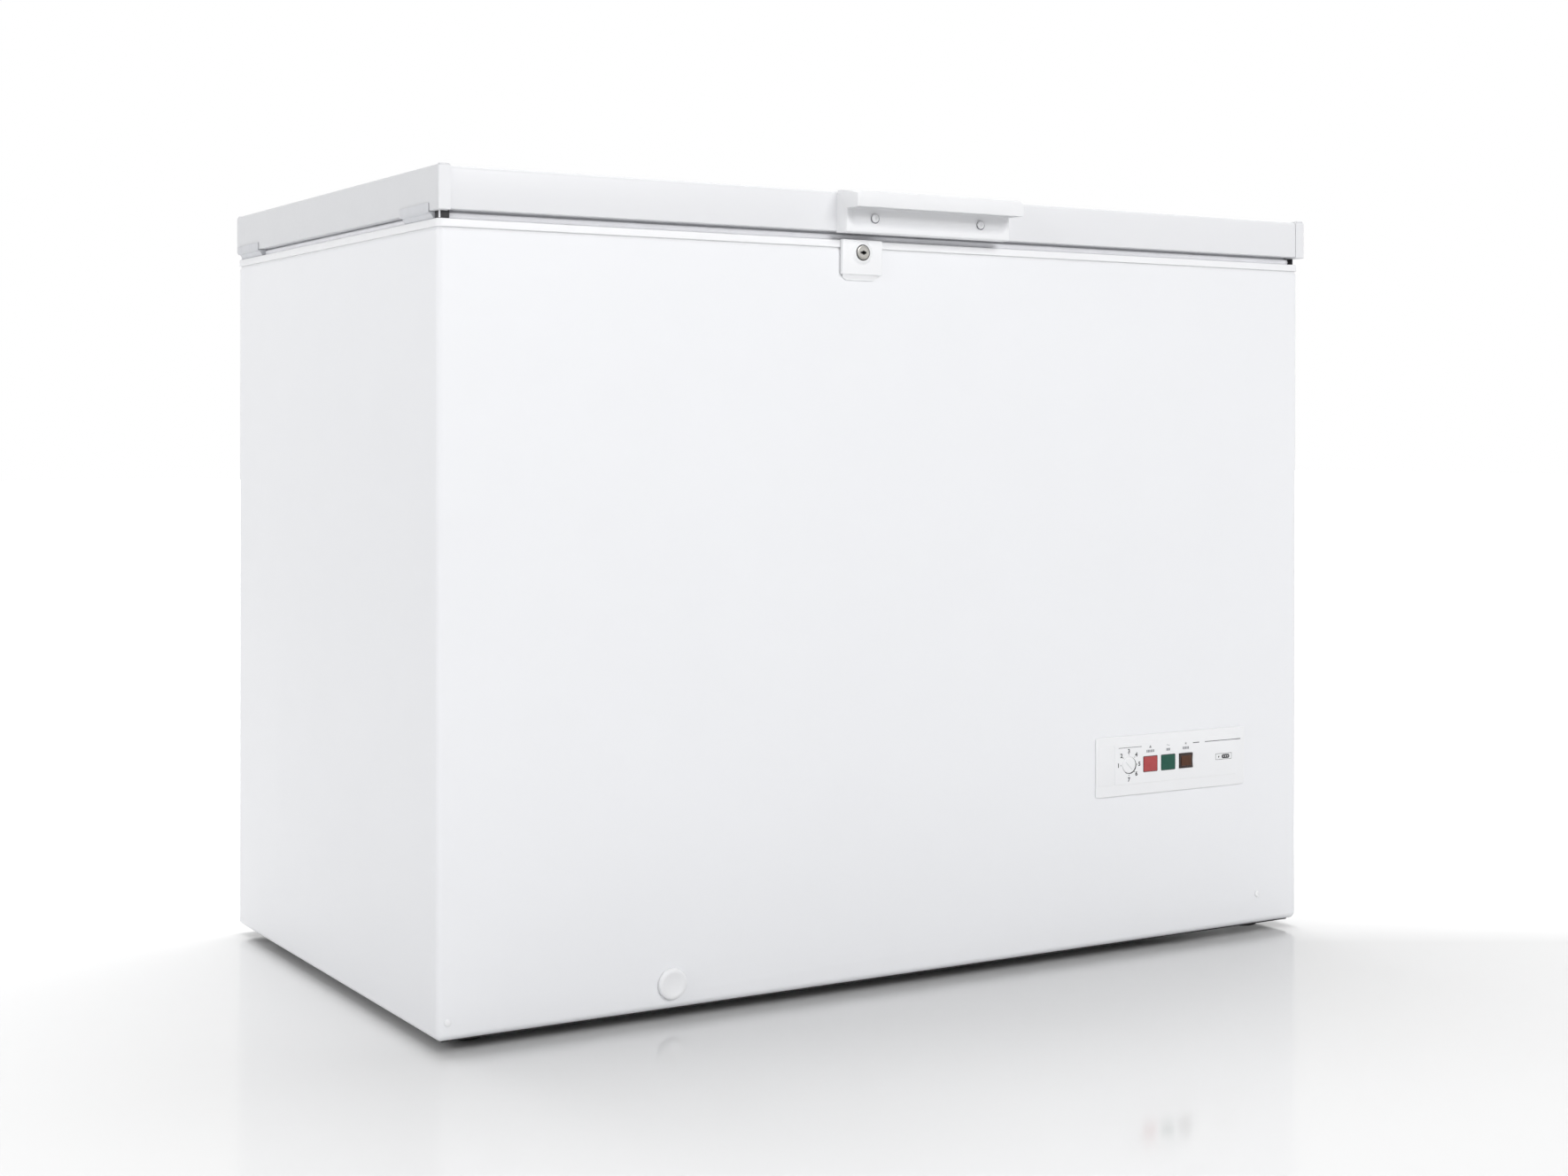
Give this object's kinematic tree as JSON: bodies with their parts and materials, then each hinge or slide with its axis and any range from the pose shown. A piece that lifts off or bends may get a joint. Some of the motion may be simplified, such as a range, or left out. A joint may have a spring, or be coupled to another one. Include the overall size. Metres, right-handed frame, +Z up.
{
  "type": "chest freezer",
  "caption": "White chest freezer with a sprung hinged lid, front grip and lock, control panel low at the right, drain cap and hanging basket.",
  "frame": {"origin": "on the floor, under the middle of the closed freezer's box", "axes": "+X to the right seen from the front, +Y to the back, +Z up"},
  "size_m": [1.1844, 0.725, 0.901],
  "materials": {
    "cabinet_white": "gloss",
    "trim_white": "satin",
    "liner_white": "satin",
    "foam": "matte",
    "gasket_grey": "matte",
    "galvanised": "satin",
    "zinc": "satin",
    "spring_steel": "satin",
    "copper": "satin",
    "black_enamel": "satin",
    "black_rubber": "matte",
    "black_plastic": "matte",
    "nickel": "polished",
    "red_lens": "polished",
    "green_lens": "polished",
    "amber_rocker": "gloss",
    "spacer_grey": "satin",
    "basket_wire": "gloss"
  },
  "bodies": {
    "cabinet": {"cabinet_wrapper": "cabinet_white", "back_panel": "galvanised", "base_plate": "galvanised", "inner_liner": "liner_white", "cabinet_insulation": "foam", "top_collar": "trim_white", "drain_tube": "trim_white", "control_panel": "trim_white", "alarm_lamp": "red_lens", "power_lamp": "green_lens", "thermostat_body": "black_plastic", "lock_housing": "trim_white", "front_rivet_left": "trim_white", "front_rivet_right": "trim_white", "compressor": "black_enamel", "compressor_terminal_box": "black_plastic", "filter_drier": "copper", "discharge_pipe": "copper", "condenser_tube": "copper", "evaporator_tube": "copper", "suction_pipe": "copper", "compressor_grille": "galvanised", "cable_gland": "black_plastic", "foot_front_left": "black_plastic", "foot_front_right": "black_plastic", "foot_rear_left": "black_plastic", "foot_rear_right": "black_plastic", "compressor_grommet_1": "black_rubber", "compressor_grommet_2": "black_rubber", "compressor_grommet_3": "black_rubber", "compressor_grommet_4": "black_rubber", "hinge_bracket_left": "zinc", "hinge_pin_left": "zinc", "hinge_spring_left": "spring_steel", "hinge_bracket_right": "zinc", "hinge_pin_right": "zinc", "hinge_spring_right": "spring_steel"},
    "lid": {"lid_top_panel": "cabinet_white", "lid_trim_left": "trim_white", "lid_trim_right": "trim_white", "lid_inner_panel": "trim_white", "lid_insulation": "foam", "lid_gasket": "gasket_grey", "lid_handle": "trim_white", "handle_screw_left": "black_plastic", "handle_screw_right": "black_plastic", "lid_spacer_front_left": "spacer_grey", "lid_spacer_front_right": "spacer_grey", "lid_spacer_rear_left": "spacer_grey", "lid_spacer_rear_right": "spacer_grey", "hinge_arm_left": "zinc", "hinge_arm_right": "zinc"},
    "lock_barrel": {"lock_cylinder": "nickel", "lock_cam": "zinc"},
    "thermostat_dial": {"thermostat_knob": "trim_white"},
    "super_rocker": {"super_switch": "amber_rocker"},
    "drain_plug": {"drain_cap": "trim_white"},
    "basket": {"storage_basket": "basket_wire"}
  },
  "joints": [
    {"name": "lid_hinge", "type": "hinge", "parent": "cabinet", "child": "lid", "pos_m": [0, 0.3505, 0.862], "axis": [-1, 0, 0], "range_deg": [0, 78], "stiffness_Nm_per_rad": 14, "springref_deg": 80.21},
    {"name": "lock_turn", "type": "hinge", "parent": "cabinet", "child": "lock_barrel", "pos_m": [-0.0805, -0.316, 0.832], "axis": [0, -1, 0], "range_deg": [0, 90]},
    {"name": "thermostat_turn", "type": "hinge", "parent": "cabinet", "child": "thermostat_dial", "pos_m": [0.3091, -0.3135, 0.2268], "axis": [0, 1, 0], "range_deg": [-45, 225]},
    {"name": "super_rock", "type": "hinge", "parent": "cabinet", "child": "super_rocker", "pos_m": [0.3994, -0.3145, 0.2259], "axis": [1, 0, 0], "range_deg": [0, 10]},
    {"name": "drain_pull", "type": "slide", "parent": "cabinet", "child": "drain_plug", "axis": [0, -1, 0], "range_m": [0, 0.03]},
    {"name": "basket_slide", "type": "slide", "parent": "cabinet", "child": "basket", "axis": [1, 0, 0], "range_m": [-0.7, 0]}
  ]
}
